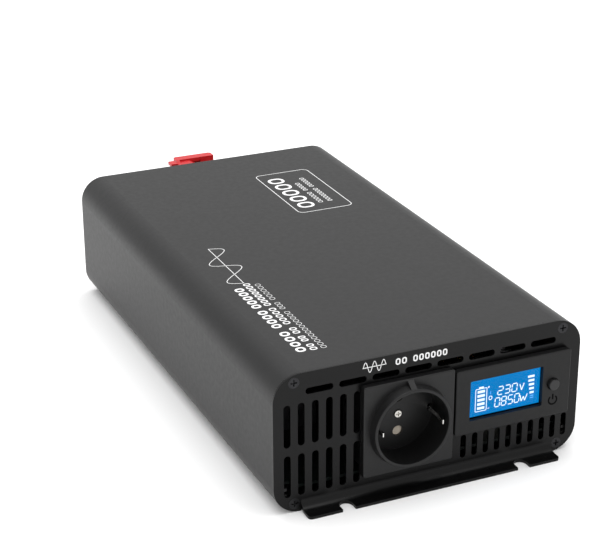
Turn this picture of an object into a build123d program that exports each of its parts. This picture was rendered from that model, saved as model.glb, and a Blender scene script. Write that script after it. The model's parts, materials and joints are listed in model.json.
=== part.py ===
from build123d import *
import math
import os

# Power inverter: an extruded aluminium housing closed by two sheet-metal end panels.
# Millimetres.  +X right, +Y from the socket end to the battery end, +Z up.
# The origin is the middle of the housing's bottom face.

# ---- driving dimensions -------------------------------------------------------------------
WIDTH = 171.0
HEIGHT = 75.0
CORNER = 14.5
LENGTH = 303.0                     # between the outer faces of the two end panels
WALL = 2.2
SHEET = 1.5

FRONT = -LENGTH / 2                # outer face of the front panel
REAR = LENGTH / 2                  # outer face of the rear panel
BAY_FRONT = FRONT + SHEET
BAY_REAR = REAR - SHEET

FLANGE_REACH = 10.0
FLANGE_HALF = WIDTH / 2 - CORNER
BEND = 5.0
FLANGE_SLOT_X = 49.5
FLANGE_SLOT_WIDTH = 7.0
FLANGE_SLOT_DEPTH = 7.0

PANEL_SCREW_X = 74.5
PANEL_SCREW_Z = 32.9               # above and below the middle of the panel
SCREW_SHANK = 1.45
SCREW_HEAD = 2.9
PORT_WALL = 3.4
PORT_HOLE = 1.5

VENT_X = -78.2
VENT_PITCH = 7.44
VENT_WIDTH = 3.6
VENT_ROWS = ((8.8, 31.8), (36.2, 59.2))
TOP_SLOT_X = -61.1
TOP_SLOT_PITCH = 17.77
TOP_SLOT_Z = 64.8
TOP_SLOT_SIZE = (14.7, 3.4)
SIDE_VENT_X = 18.9
SIDE_VENT_PITCH = 6.57
SIDE_VENT_WIDTH = 3.2
SIDE_VENT_SPAN = (8.6, 21.6)

SOCKET_X = -14.25
SOCKET_Z = 36.95
SOCKET_PLATE = 50.0
PLATE_PROUD = 4.0                  # how far plate and bezel stand proud of the panel
SHADOW_GAP = 0.4
COLLAR_PROUD = 9.0
WELL_RADIUS = 19.5
COLLAR_RADIUS = 21.1
WELL_DEPTH = 17.5
WELL_OUTER = 22.0
PIN_OFFSET = 9.5
PIN_HOLE = 2.75
SHUTTER_RADIUS = 15.0
SHUTTER_BORE = 4.06               # running fit on the carrier's boss
SHUTTER_TURN = 38.0
CARRIER_HALF = 23.0

BEZEL_X = (11.6, 77.9)
BEZEL_Z = (24.1, 59.9)
SKIRT_X = (12.6, 76.9)
SKIRT_Z = (25.1, 58.9)
WINDOW_X = (19.7, 61.7)
WINDOW_Z = (31.0, 53.1)
BUTTON_X = 67.7
BUTTON_Z = 42.2
BUTTON_RADIUS = 2.95
BUTTON_PROUD = 6.0
BUTTON_TRAVEL = 1.2

BOARD_Z = 10.0
BOARD_THICK = 1.6
BOARD_TOP = BOARD_Z + BOARD_THICK
BOARD_HALF = 80.0
BOARD_Y = (-146.0, 131.0)

FAN_X = 52.0
FAN_Z = HEIGHT / 2
FAN_SIZE = 50.0
FAN_DEPTH = 15.0
FAN_BORE = 23.4
FAN_HOLE = 20.0
FAN_BLADES = 7

POSITIVE_Z = 56.4
NEGATIVE_Z = 26.0
STUD = 4.0
STUD_END = 29.5                    # behind the rear panel
POST_HALF_X = 15.0
POST_HALF_Z = 12.0
POST_DEPTH = 10.0
HINGE_X = 11.5
HINGE_OUT = 24.0                   # hinge pin's distance behind the rear panel
KNUCKLE = 2.6
KNUCKLE_HALF = 3.8                 # half the height of the cover's knuckle
LUG_END = 8.2                      # the lugs reach this far above and below the stud
PIN_RADIUS = 1.2
COVER_IN = 27.0
COVER_OUT = 33.5
COVER_X = (-12.8, 13.4)
COVER_WALL = 2.4
COVER_GAP_END = 4.4                # the hood's front lip starts here
COVER_LIP = 8.0                    # the lip's lower edge above the stud, clear of the nut
COVER_SIDE_IN = 14.0               # where the hood's left wall starts, behind the panel
THUMB_TOP = 10.9                   # thumb plate's top above the stud
THUMB_THICK = 2.0
THUMB_IN = 20.5


# ---- shape helpers ------------------------------------------------------------------------
def block(x0, x1, y0, y1, z0, z1):
    return Pos((x0 + x1) / 2, (y0 + y1) / 2, (z0 + z1) / 2) * Box(x1 - x0, y1 - y0, z1 - z0)


def rod_x(y, z, radius, x0, x1):
    return Pos((x0 + x1) / 2, y, z) * Rot(0, 90, 0) * Cylinder(radius, x1 - x0)


def rod_y(x, z, radius, y0, y1):
    return Pos(x, (y0 + y1) / 2, z) * Rot(90, 0, 0) * Cylinder(radius, y1 - y0)


def rod_z(x, y, radius, z0, z1):
    return Pos(x, y, (z0 + z1) / 2) * Cylinder(radius, z1 - z0)


def prism_y(sketch, y0, y1):
    """A sketch drawn in X and Z, given its depth from y0 to y1."""
    return Pos(0, y1, 0) * Rot(90, 0, 0) * extrude(sketch, amount=y1 - y0)


def prism_x(sketch, x0, x1):
    """A sketch drawn in Y and Z, given its depth from x0 to x1."""
    return Pos(x0, 0, 0) * Rot(0, 0, 90) * Rot(90, 0, 0) * extrude(sketch, amount=x1 - x0)


def cone_y(x, z, r0, r1, y0, y1):
    """A cone with radius r0 at y0 and r1 at y1."""
    return Pos(x, (y0 + y1) / 2, z) * Rot(-90, 0, 0) * Cone(r0, r1, y1 - y0)


def join(pieces):
    return pieces[0] + pieces[1:] if len(pieces) > 1 else pieces[0]


def save(node, *pieces):
    """Write one node; several pieces stay separate solids."""
    solids = [solid for piece in pieces for solid in piece.solids()]
    shape = solids[0] if len(solids) == 1 else Compound(children=solids)
    export_step(shape, f"parts/{node}.step")


def outline(inset=0.0):
    """The end view of the housing, drawn in X and Z."""
    shape = RectangleRounded(WIDTH - 2 * inset, HEIGHT - 2 * inset, CORNER - inset)
    return Pos(0, HEIGHT / 2) * shape


def corner_points():
    middle = HEIGHT / 2
    return [(sx * PANEL_SCREW_X, middle + sz * PANEL_SCREW_Z) for sx in (-1, 1) for sz in (-1, 1)]


def cross_recess(x, z, y, inward, reach=1.7, width=0.75, depth=0.9):
    """The cross cut into a screw head whose face is at y; inward is +1 or -1 along Y."""
    y0, y1 = sorted((y - inward * 0.2, y + inward * depth))
    bars = block(x - reach, x + reach, y0, y1, z - width / 2, z + width / 2)
    return bars + block(x - width / 2, x + width / 2, y0, y1, z - reach, z + reach)


# ---- casing -------------------------------------------------------------------------------
def make_housing():
    body = prism_y(outline(), BAY_FRONT, BAY_REAR) - prism_y(outline(WALL), BAY_FRONT, BAY_REAR)
    envelope = prism_y(outline(WALL / 2), BAY_FRONT, BAY_REAR)
    ports = [rod_y(x, z, PORT_WALL, BAY_FRONT, BAY_REAR) for x, z in corner_points()]
    rails = []
    for side in (-1, 1):
        for z0, z1 in ((BOARD_Z - 1.6, BOARD_Z - 0.1), (BOARD_TOP + 0.1, BOARD_TOP + 1.6)):
            x0, x1 = sorted((side * (BOARD_HALF - 2), side * 84.4))
            rails.append(block(x0, x1, BAY_FRONT, BAY_REAR, z0, z1))
    body += (join(ports + rails) & envelope)
    for x, z in corner_points():
        body -= rod_y(x, z, PORT_HOLE, BAY_FRONT, BAY_REAR)
    return body


def panel_blank(outer, inward):
    """End panel with its bent mounting flange; outer is the panel's outer face."""
    inner = outer + inward * SHEET
    y0, y1 = sorted((outer, inner))
    plate = prism_y(outline(), y0, y1)
    plate -= block(-FLANGE_HALF, FLANGE_HALF, y0, y1, 0, SHEET + BEND)
    edge = outer - inward * FLANGE_REACH
    centre_y = outer - inward * BEND
    centre_z = SHEET + BEND
    f0, f1 = sorted((edge, centre_y))
    flange = block(-FLANGE_HALF, FLANGE_HALF, f0, f1, 0, SHEET)
    for x in (-FLANGE_HALF, FLANGE_HALF):
        corner = flange.edges().filter_by(Axis.Z).filter_by_position(Axis.Y, edge - 0.1, edge + 0.1)
        corner = corner.filter_by_position(Axis.X, x - 0.1, x + 0.1)
        flange = fillet(corner, 2.0)
    bend = rod_x(centre_y, centre_z, BEND + SHEET, -FLANGE_HALF, FLANGE_HALF)
    bend -= rod_x(centre_y, centre_z, BEND, -FLANGE_HALF, FLANGE_HALF)
    b0, b1 = sorted((centre_y, inner))
    bend &= block(-FLANGE_HALF, FLANGE_HALF, b0, b1, 0, centre_z)
    panel = plate + bend + flange
    slot_end = edge + inward * (FLANGE_SLOT_DEPTH - FLANGE_SLOT_WIDTH / 2)
    for x in (-FLANGE_SLOT_X, FLANGE_SLOT_X):
        half = FLANGE_SLOT_WIDTH / 2
        s0, s1 = sorted((edge - inward, slot_end))
        panel -= block(x - half, x + half, s0, s1, -1, SHEET + 1)
        panel -= rod_z(x, slot_end, half, -1, SHEET + 1)
    for x, z in corner_points():
        panel -= rod_y(x, z, 1.7, y0 - 1, y1 + 1)
        low, high = (SCREW_HEAD, 1.7) if inward > 0 else (1.7, SCREW_HEAD)
        panel -= cone_y(x, z, low, high, y0, y1)
    return panel


def slot_hole(x, z, width, height, y0, y1):
    """A round-ended opening through a panel, long side upright if height is the larger."""
    if height > width:
        return prism_y(Pos(x, z) * SlotOverall(height, width, rotation=90), y0, y1)
    return prism_y(Pos(x, z) * SlotOverall(width, height), y0, y1)


def make_front_panel():
    panel = panel_blank(FRONT, 1)
    y0, y1 = FRONT - 1, BAY_FRONT + 1
    cuts = []
    for column in range(6):
        for low, high in VENT_ROWS:
            x = VENT_X + column * VENT_PITCH
            cuts.append(slot_hole(x, (low + high) / 2, VENT_WIDTH, high - low, y0, y1))
    for index in range(8):
        x = TOP_SLOT_X + index * TOP_SLOT_PITCH
        cuts.append(slot_hole(x, TOP_SLOT_Z, *TOP_SLOT_SIZE, y0, y1))
    for index in range(10):
        x = SIDE_VENT_X + index * SIDE_VENT_PITCH
        low, high = SIDE_VENT_SPAN
        cuts.append(slot_hole(x, (low + high) / 2, SIDE_VENT_WIDTH, high - low, y0, y1))
    cuts.append(rod_y(SOCKET_X, SOCKET_Z, WELL_OUTER + 0.8, y0, y1))
    gap = 0.4
    cuts.append(block(SKIRT_X[0] - gap, SKIRT_X[1] + gap, y0, y1, SKIRT_Z[0] - gap, SKIRT_Z[1] + gap))
    return panel - cuts


def make_rear_panel():
    panel = panel_blank(REAR, -1)
    y0, y1 = BAY_REAR - 1, REAR + 1
    cuts = []
    for side in (-1, 1):
        cuts.append(rod_y(side * FAN_X, FAN_Z, FAN_BORE, y0, y1))
        for x, z in fan_hole_points(side):
            cuts.append(rod_y(x, z, 2.0, y0, y1))
    for z in (POSITIVE_Z, NEGATIVE_Z):
        cuts.append(rod_y(0, z, 10.3, y0, y1))
    cuts.append(rod_y(GROUND_X, GROUND_Z, 2.1, y0, y1))
    return panel - cuts


def panel_screw(x, z, face, inward):
    """Countersunk cross-head screw; face is the panel's outer face."""
    tip = face + inward * 10.0
    under = face + inward * SHEET
    y0, y1 = sorted((face, under))
    low, high = (SCREW_HEAD - 0.05, SCREW_SHANK) if inward > 0 else (SCREW_SHANK, SCREW_HEAD - 0.05)
    s0, s1 = sorted((under, tip))
    screw = cone_y(x, z, low, high, y0, y1) + rod_y(x, z, SCREW_SHANK, s0, s1)
    return screw - cross_recess(x, z, face, inward)


# ---- mains socket -------------------------------------------------------------------------
def socket_rod(radius, q0, q1, dx=0.0, dz=0.0):
    """A round bar along the socket's axis; q is measured inward from the panel's face."""
    return rod_y(SOCKET_X + dx, SOCKET_Z + dz, radius, FRONT + q0, FRONT + q1)


def socket_block(x0, x1, q0, q1, z0, z1):
    return block(SOCKET_X + x0, SOCKET_X + x1, FRONT + q0, FRONT + q1, SOCKET_Z + z0, SOCKET_Z + z1)


FLOOR_Q = WELL_DEPTH - COLLAR_PROUD
FLOOR_THICK = 1.2
CHAMBER_Q = FLOOR_Q + FLOOR_THICK
CARRIER_Q = CHAMBER_Q + 1.8
CARRIER_BACK = 24.0
BOSS_RADIUS = 4.0                  # the shutter turns on this boss
STRAP_BORE = 4.2
STRAP_EYE = 6.5
EARTH_POST_X = 14.0
ARM_X = 17.4                       # where the earth strap's arms stand in the well
ARM_WIDTH = 2.2
ARM_THICK = 0.8
ARM_SLOT = 0.5                     # clearance round an arm where it comes through the floor
SOCKET_SCREW_HEAD = 2.1
SOCKET_SCREW_FACE = 0.6            # how far the screw's face stands in front of the well's floor
BRIDGE_HALF = 1.6


def make_socket_body():
    half = SOCKET_PLATE / 2
    plate = socket_block(-half, half, -PLATE_PROUD, -SHADOW_GAP, -half, half)
    plate = fillet(plate.edges().filter_by(Axis.Y), 1.2)
    front = plate.faces().sort_by(Axis.Y)[0]
    plate = fillet(front.edges(), 0.6)
    foot = socket_block(-half + 0.8, half - 0.8, -SHADOW_GAP, 0, -half + 0.8, half - 0.8)
    rim, root = FRONT - COLLAR_PROUD, FRONT - PLATE_PROUD
    collar = cone_y(SOCKET_X, SOCKET_Z, COLLAR_RADIUS, COLLAR_RADIUS + 0.9, rim, root)
    ramp = [(-PLATE_PROUD, half - 0.4), (-COLLAR_PROUD + 0.6, COLLAR_RADIUS + 0.2)]
    ramp += [(-COLLAR_PROUD + 0.6, COLLAR_RADIUS - 1.5), (-PLATE_PROUD, COLLAR_RADIUS - 1.5)]
    side = make_face(Polyline(*[(FRONT + q, SOCKET_Z + up) for q, up in ramp], close=True))
    bridge = prism_x(side, SOCKET_X - BRIDGE_HALF, SOCKET_X + BRIDGE_HALF)
    tube = socket_rod(WELL_OUTER, -SHADOW_GAP, CHAMBER_Q)
    body = plate + foot + collar + bridge + tube
    body -= socket_rod(WELL_RADIUS, -COLLAR_PROUD, FLOOR_Q)
    lip = body.edges().filter_by(GeomType.CIRCLE).sort_by(Axis.Y)[0:2]
    body = fillet(lip, 0.55)
    body -= socket_rod(SOCKET_SCREW_HEAD + 0.35, FLOOR_Q - 1, FLOOR_Q + 0.6)
    body -= socket_rod(1.7, FLOOR_Q, CHAMBER_Q)
    for dz in (-PIN_OFFSET, PIN_OFFSET):
        body -= socket_rod(PIN_HOLE, FLOOR_Q - 1, CHAMBER_Q, dz=dz)
    for side in (-1, 1):
        half_x = ARM_THICK / 2 + ARM_SLOT
        half_z = ARM_WIDTH / 2 + ARM_SLOT
        x = side * ARM_X
        body -= socket_block(x - half_x, x + half_x, FLOOR_Q - 1, CHAMBER_Q, -half_z, half_z)
    return body


def make_shutter():
    """Disc that covers the pin holes until two pins turn it."""
    disc = socket_rod(SHUTTER_RADIUS, CHAMBER_Q + 0.1, CHAMBER_Q + 1.6)
    disc -= socket_rod(SHUTTER_BORE, CHAMBER_Q, CHAMBER_Q + 2)
    for turn in (0, 180):
        angle = math.radians(turn + 90 + SHUTTER_TURN)
        dx, dz = PIN_OFFSET * math.cos(angle), PIN_OFFSET * math.sin(angle)
        disc -= socket_rod(PIN_HOLE + 0.35, CHAMBER_Q, CHAMBER_Q + 2, dx, dz)
    return disc


def make_contact_carrier():
    half = CARRIER_HALF
    body = socket_block(-half, half, SHEET, CARRIER_BACK, -half, half)
    body = fillet(body.edges().filter_by(Axis.Y), 2.0)
    body -= socket_rod(WELL_OUTER + 0.3, SHEET, CARRIER_Q)
    body += socket_rod(BOSS_RADIUS, CHAMBER_Q, CARRIER_Q)
    body -= socket_rod(1.55, CHAMBER_Q, 22.5)
    groove = socket_block(-22.5, 22.5, CARRIER_Q, CARRIER_Q + 0.9, -2.6, 2.6)
    groove += socket_rod(STRAP_EYE + 0.2, CARRIER_Q, CARRIER_Q + 0.9)
    body -= groove - socket_rod(BOSS_RADIUS, CARRIER_Q - 1, CARRIER_Q + 1)
    for dz in (-PIN_OFFSET, PIN_OFFSET):
        body -= socket_rod(PIN_HOLE, CARRIER_Q, CARRIER_Q + 1, dz=dz)
        body -= socket_rod(4.05, CARRIER_Q + 1, CARRIER_BACK, dz=dz)
    body -= socket_rod(1.6, CARRIER_Q, CARRIER_BACK, dx=EARTH_POST_X)
    return body


def make_pin_contact(dz):
    outer = socket_rod(4.0, CARRIER_Q + 1, CARRIER_BACK, dz=dz)
    return outer - socket_rod(2.45, CARRIER_Q, CARRIER_BACK - 2, dz=dz)


def make_earth_strap():
    """One bent strip: a cross bar behind the well and a sprung arm up each side."""
    reach = ARM_X + ARM_THICK / 2
    bar = socket_block(-reach, reach, CARRIER_Q, CARRIER_Q + 0.8, -ARM_WIDTH / 2, ARM_WIDTH / 2)
    bar += socket_rod(STRAP_EYE, CARRIER_Q, CARRIER_Q + 0.8)
    bar -= socket_rod(STRAP_BORE, CARRIER_Q - 1, CARRIER_Q + 2)
    bar += socket_rod(1.5, CARRIER_Q + 0.8, CARRIER_BACK, dx=EARTH_POST_X)
    for side in (-1, 1):
        spine = [(ARM_X, CARRIER_Q + 0.4), (ARM_X, -2.0), (ARM_X - 0.5, -5.0), (ARM_X - 1.3, -7.0)]
        spine += [(ARM_X - 0.9, -8.2)]
        path = Polyline([(SOCKET_X + side * u, FRONT + q) for u, q in spine])
        strip = make_face(offset(path, ARM_THICK / 2, side=Side.BOTH))
        bar += Pos(0, 0, SOCKET_Z - ARM_WIDTH / 2) * extrude(strip, amount=ARM_WIDTH)
    return bar


def make_socket_screw():
    face = FLOOR_Q - SOCKET_SCREW_FACE
    head = socket_rod(SOCKET_SCREW_HEAD, face, FLOOR_Q + 0.6)
    head = fillet(head.edges().filter_by(GeomType.CIRCLE).sort_by(Axis.Y)[0:1], 0.4)
    screw = head + socket_rod(1.5, FLOOR_Q + 0.6, 22.0)
    return screw - cross_recess(SOCKET_X, SOCKET_Z, FRONT + face, 1, 1.3, 0.6, 0.9)


# ---- display and power button -------------------------------------------------------------
BOARD_Q = 5.0                      # front face of the display board, inward from the panel
GLASS_Q = -1.9
DISPLAY_SCREWS = [(x, z) for x in (14.8, 74.7) for z in (28.0, 56.0)]


def display_block(xs, q0, q1, zs):
    return block(xs[0], xs[1], FRONT + q0, FRONT + q1, zs[0], zs[1])


def grow(span, amount):
    return (span[0] - amount, span[1] + amount)


def make_display_bezel():
    plate = display_block(BEZEL_X, -PLATE_PROUD, -SHADOW_GAP, BEZEL_Z)
    plate = fillet(plate.edges().filter_by(Axis.Y), 1.2)
    plate = fillet(plate.faces().sort_by(Axis.Y)[0].edges(), 0.5)
    foot = display_block(grow(BEZEL_X, -0.8), -SHADOW_GAP, 0, grow(BEZEL_Z, -0.8))
    skirt = display_block(SKIRT_X, 0, BOARD_Q, SKIRT_Z)
    bezel = plate + foot + skirt
    bezel -= display_block(grow(SKIRT_X, -4.4), -SHADOW_GAP, BOARD_Q, grow(SKIRT_Z, -1.5))
    bezel -= display_block(grow(WINDOW_X, 2.0), GLASS_Q, 0, grow(WINDOW_Z, 2.0))
    opening = display_block(WINDOW_X, -PLATE_PROUD - 1, GLASS_Q, WINDOW_Z)
    bezel -= fillet(opening.edges().filter_by(Axis.Y), 0.6)
    bezel -= rod_y(BUTTON_X, BUTTON_Z, BUTTON_RADIUS + 0.35, FRONT - 5, FRONT)
    bezel -= rod_y(BUTTON_X, BUTTON_Z, 4.3, FRONT - 2.1, FRONT)
    for x, z in DISPLAY_SCREWS:
        bezel -= rod_y(x, z, 1.0, FRONT - 1, FRONT + BOARD_Q)
    return bezel


def make_display_board():
    board = display_block(SKIRT_X, BOARD_Q, BOARD_Q + BOARD_THICK, SKIRT_Z)
    for x, z in DISPLAY_SCREWS:
        board -= rod_y(x, z, 1.1, FRONT + BOARD_Q - 1, FRONT + BOARD_Q + 3)
    return board


def make_display_screw(x, z):
    back = FRONT + BOARD_Q + BOARD_THICK
    screw = rod_y(x, z, 1.9, back, back + 1.3) + rod_y(x, z, 0.95, FRONT, back)
    return screw - cross_recess(x, z, back + 1.3, -1, 1.2, 0.5, 0.7)


def make_power_button():
    """Cap with a retaining collar behind the bezel and a stem that presses the switch."""
    cap = rod_y(BUTTON_X, BUTTON_Z, BUTTON_RADIUS, FRONT - BUTTON_PROUD, FRONT - 1.9)
    cap = fillet(cap.faces().sort_by(Axis.Y)[0].edges(), 0.5)
    collar = rod_y(BUTTON_X, BUTTON_Z, 3.9, FRONT - 1.95, FRONT - 0.9)
    return cap + collar + rod_y(BUTTON_X, BUTTON_Z, 1.5, FRONT - 0.9, FRONT + 1.7)


def make_button_switch():
    body = block(BUTTON_X - 3, BUTTON_X + 3, FRONT + 3.2, FRONT + BOARD_Q, BUTTON_Z - 3, BUTTON_Z + 3)
    return body - rod_y(BUTTON_X, BUTTON_Z, 2.1, FRONT + 3, FRONT + 4.75)


# ---- fans ---------------------------------------------------------------------------------
def fan_hole_points(side):
    return [(side * FAN_X + dx, FAN_Z + dz) for dx in (-FAN_HOLE, FAN_HOLE) for dz in (-FAN_HOLE, FAN_HOLE)]


FAN_BACK = BAY_REAR - FAN_DEPTH
BEARING_BORE = 1.55


def make_fan_frame(side):
    x = side * FAN_X
    square = Pos(x, FAN_Z) * RectangleRounded(FAN_SIZE, FAN_SIZE, 3.0)
    frame = prism_y(square, FAN_BACK, BAY_REAR) - rod_y(x, FAN_Z, FAN_BORE, FAN_BACK, BAY_REAR)
    waist = rod_y(x, FAN_Z, FAN_BORE + 6, FAN_BACK + 3, BAY_REAR - 3)
    waist -= rod_y(x, FAN_Z, FAN_BORE + 1.2, FAN_BACK + 3, BAY_REAR - 3)
    corners = [rod_y(px, pz, 3.4, FAN_BACK, BAY_REAR) for px, pz in fan_hole_points(side)]
    frame = frame - waist + corners
    frame += rod_y(x, FAN_Z, 11.0, FAN_BACK, FAN_BACK + 2.2)
    frame += rod_y(x, FAN_Z, 4.0, FAN_BACK, FAN_BACK + 5.2)
    strut = block(x - 1.3, x + 1.3, FAN_BACK, FAN_BACK + 2.2, FAN_Z + 10, FAN_Z + FAN_BORE + 0.8)
    axis = Axis((x, 0, FAN_Z), (0, 1, 0))
    for index in range(4):
        frame += strut.rotate(axis, 45 + 90 * index)
    frame -= rod_y(x, FAN_Z, BEARING_BORE, FAN_BACK, BAY_REAR)
    for px, pz in fan_hole_points(side):
        frame -= rod_y(px, pz, 1.8, FAN_BACK, BAY_REAR)
    return frame


def make_fan_rotor(side):
    x = side * FAN_X
    hub = rod_y(x, FAN_Z, 10.5, FAN_BACK + 5.7, BAY_REAR - 0.8)
    hub = fillet(hub.faces().sort_by(Axis.Y)[-1].edges(), 1.0)
    rotor = hub + rod_y(x, FAN_Z, BEARING_BORE - 0.05, FAN_BACK + 0.6, FAN_BACK + 5.7)
    tip = rod_y(x, FAN_Z, FAN_BORE - 0.8, FAN_BACK, BAY_REAR) - rod_y(x, FAN_Z, 9.8, FAN_BACK, BAY_REAR)
    middle_y = (FAN_BACK + 5.7 + BAY_REAR - 0.8) / 2
    blade = Pos(x, middle_y, FAN_Z + 16) * Rot(0, 0, 38) * Box(11.5, 1.3, 16)
    blade &= tip
    axis = Axis((x, 0, FAN_Z), (0, 1, 0))
    for index in range(FAN_BLADES):
        rotor += blade.rotate(axis, 360 / FAN_BLADES * index)
    return rotor


def make_fan_guard(side):
    """Wire guard: four rings on a diagonal cross of spokes, with an eye at each screw."""
    x = side * FAN_X
    wire = 0.8
    spoke_y = REAR + wire
    ring_y = REAR + 2.9 * wire
    eye = 2.7
    reach = FAN_HOLE * math.sqrt(2) - eye
    wires = []
    for angle in (45, 135):
        bar = Rot(0, angle, 0) * Cylinder(wire, 2 * reach)
        wires.append(Pos(x, spoke_y, FAN_Z) * bar)
    for radius in (6.0, 11.0, 16.0, 21.0):
        wires.append(Pos(x, ring_y, FAN_Z) * Rot(90, 0, 0) * Torus(radius, wire))
    for px, pz in fan_hole_points(side):
        wires.append(Pos(px, spoke_y, pz) * Rot(90, 0, 0) * Torus(eye, wire))
    return join(wires)


def make_fan_screw(x, z):
    seat = REAR + 1.6
    head = rod_y(x, z, 3.2, seat, seat + 1.9)
    head = fillet(head.faces().sort_by(Axis.Y)[-1].edges(), 0.7)
    screw = head + rod_y(x, z, 1.75, FAN_BACK + 2, seat)
    return screw - cross_recess(x, z, seat + 1.9, -1, 1.8, 0.8, 1.1)


# ---- battery terminals --------------------------------------------------------------------
def out(distance):
    """Y at a distance behind the rear panel."""
    return REAR + distance


def make_terminal_base(z):
    """Moulded post: spigot through the panel, square body, two hinge lugs on the right."""
    body = block(-POST_HALF_X, POST_HALF_X, out(0), out(POST_DEPTH), z - POST_HALF_Z, z + POST_HALF_Z)
    body = fillet(body.edges().filter_by(Axis.Y), 2.0)
    body = fillet(body.faces().sort_by(Axis.Y)[-1].edges(), 0.8)
    body += rod_y(0, z, 10.0, out(-10.5), out(0))
    body += rod_y(0, z, 9.0, out(POST_DEPTH - 1), out(POST_DEPTH + 1))
    lug = KNUCKLE_HALF + 0.3
    for low, high in ((z - LUG_END, z - lug), (z + lug, z + LUG_END)):
        body += block(HINGE_X - KNUCKLE, HINGE_X, out(POST_DEPTH - 2), out(HINGE_OUT), low, high)
        body += rod_z(HINGE_X, out(HINGE_OUT), KNUCKLE, low, high)
    body -= rod_y(0, z, STUD + 0.05, out(-11), out(POST_DEPTH + 2))
    body -= rod_z(HINGE_X, out(HINGE_OUT), PIN_RADIUS + 0.02, z - LUG_END, z + LUG_END)
    return body


def hexagon(x, z, across, y0, y1):
    return prism_y(Pos(x, z) * RegularPolygon(across / 2, 6, major_radius=False), y0, y1)


def make_stud(z):
    head = hexagon(0, z, 13.0, out(-16.0), out(-12.5))
    stud = head + rod_y(0, z, STUD, out(-12.5), out(STUD_END))
    return chamfer(stud.edges().filter_by(GeomType.CIRCLE).sort_by(Axis.Y)[-1:], 0.7)


def make_nut(z, y0, height, bore):
    nut = hexagon(0, z, 13.0, y0, y0 + height)
    dome = cone_y(0, z, 9.0, 6.4, y0 + height / 2, y0 + height) + rod_y(0, z, 9.0, y0, y0 + height / 2)
    return (nut & dome) - rod_y(0, z, bore, y0, y0 + height)


LOCK_NUT_OUT = POST_DEPTH + 1.0
WASHER_OUT = LOCK_NUT_OUT + 4.0
NUT_OUT = WASHER_OUT + 3.6


def make_washers(z):
    plain = rod_y(0, z, 8.0, out(WASHER_OUT), out(WASHER_OUT + 1.6))
    sprung = rod_y(0, z, 6.8, out(WASHER_OUT + 1.6), out(NUT_OUT))
    sprung -= block(-0.4, 0.4, out(WASHER_OUT + 1.6), out(NUT_OUT), z, z + 7)
    hole = rod_y(0, z, STUD + 0.3, out(WASHER_OUT), out(NUT_OUT))
    return [plain - hole, sprung - hole]


def make_cover(z):
    """Hinged hood: back wall, roof with a lip over its right third, side walls, thumb plate, knuckle."""
    low, high = z - POST_HALF_Z, z + POST_HALF_Z
    left, right = COVER_X
    wall_in = COVER_OUT - COVER_WALL
    roof = high - COVER_WALL
    hood = block(left, right, out(COVER_IN), out(COVER_OUT), low, high)
    hood = fillet(hood.edges().filter_by(Axis.Z).sort_by(Axis.Y)[-2:], 2.2)
    hood -= block(left - 1, COVER_GAP_END, out(COVER_IN - 1), out(wall_in), low - 1, roof)
    inner = right - COVER_WALL
    hood -= block(left + 5, inner, out(COVER_IN - 1), out(wall_in), low - 1, z + COVER_LIP)
    hood -= block(COVER_GAP_END + 2, inner, out(COVER_IN + 2), out(wall_in), z, roof)
    side = [(out(COVER_SIDE_IN), low), (out(wall_in + 0.5), low), (out(wall_in + 0.5), high)]
    side += [(out(COVER_IN), high), (out(COVER_SIDE_IN), z + 4)]
    hood += prism_x(make_face(Polyline(*side, close=True)), left, left + COVER_WALL)
    top = z + THUMB_TOP
    under = top - THUMB_THICK
    tip = 1.1
    thumb = [(-18.2, top + tip), (-14.2, top + tip), (-13.0, top), (-3.7, top), (0.5, top - 2.4)]
    thumb += [(0.5, top - 2.8), (-4.4, under), (-13.0, under), (-14.2, under + tip), (-18.2, under + tip)]
    hood += prism_y(make_face(Polyline(*thumb, close=True)), out(THUMB_IN), out(COVER_IN))
    low, high = z - KNUCKLE_HALF, z + KNUCKLE_HALF
    hood += block(HINGE_X - 2.4, HINGE_X + 1.8, out(HINGE_OUT), out(wall_in + 0.5), low, high)
    hood += rod_z(HINGE_X, out(HINGE_OUT), KNUCKLE, low, high)
    return hood - rod_z(HINGE_X, out(HINGE_OUT), PIN_RADIUS + 0.06, low, high)


def make_hinge_pin(z):
    return rod_z(HINGE_X, out(HINGE_OUT), PIN_RADIUS, z - LUG_END, z + LUG_END)


def make_busbar(z, foot_y):
    """Copper strip from the stud's head forward and down to the board."""
    strip = 8.0
    seat = out(-12.5)
    rise = block(-strip, strip, seat, seat + 2, z - 8, z + 8) - rod_y(0, z, STUD + 0.1, seat, seat + 2)
    run = block(-strip, strip, foot_y, seat + 2, z - 10, z - 8)
    drop = block(-strip, strip, foot_y, foot_y + 2, BOARD_TOP, z - 10)
    return rise + run + drop


GROUND_X = 22.0
GROUND_Z = 13.0


def make_ground_screw():
    washer = rod_y(GROUND_X, GROUND_Z, 4.6, out(0), out(0.8))
    head = rod_y(GROUND_X, GROUND_Z, 3.7, out(0.8), out(3.2))
    head = fillet(head.faces().sort_by(Axis.Y)[-1].edges(), 0.9)
    nut = hexagon(GROUND_X, GROUND_Z, 7.0, out(-4.7), out(-SHEET))
    screw = washer + head + nut + rod_y(GROUND_X, GROUND_Z, 2.0, out(-8), out(0.8))
    return screw - cross_recess(GROUND_X, GROUND_Z, out(3.2), -1, 2.0, 0.9, 1.3)


# ---- circuit ------------------------------------------------------------------------------
TRANSFORMERS = [(-33.0, 42.0), (33.0, 42.0)]
BUS_CAPACITORS = [(-22.0, -8.0), (14.0, -8.0)]
INPUT_CAPACITORS = [(x, y) for y in (82.0, 101.0) for x in (-48.0, -29.0, -10.0, 10.0, 29.0, 48.0)]
SINK_X = 70.0
INPUT_ROW = [16.0 + 14.0 * index for index in range(7)]
OUTPUT_ROW = [-92.0 + 16.0 * index for index in range(4)]
INDUCTOR = (42.0, -84.0)


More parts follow.
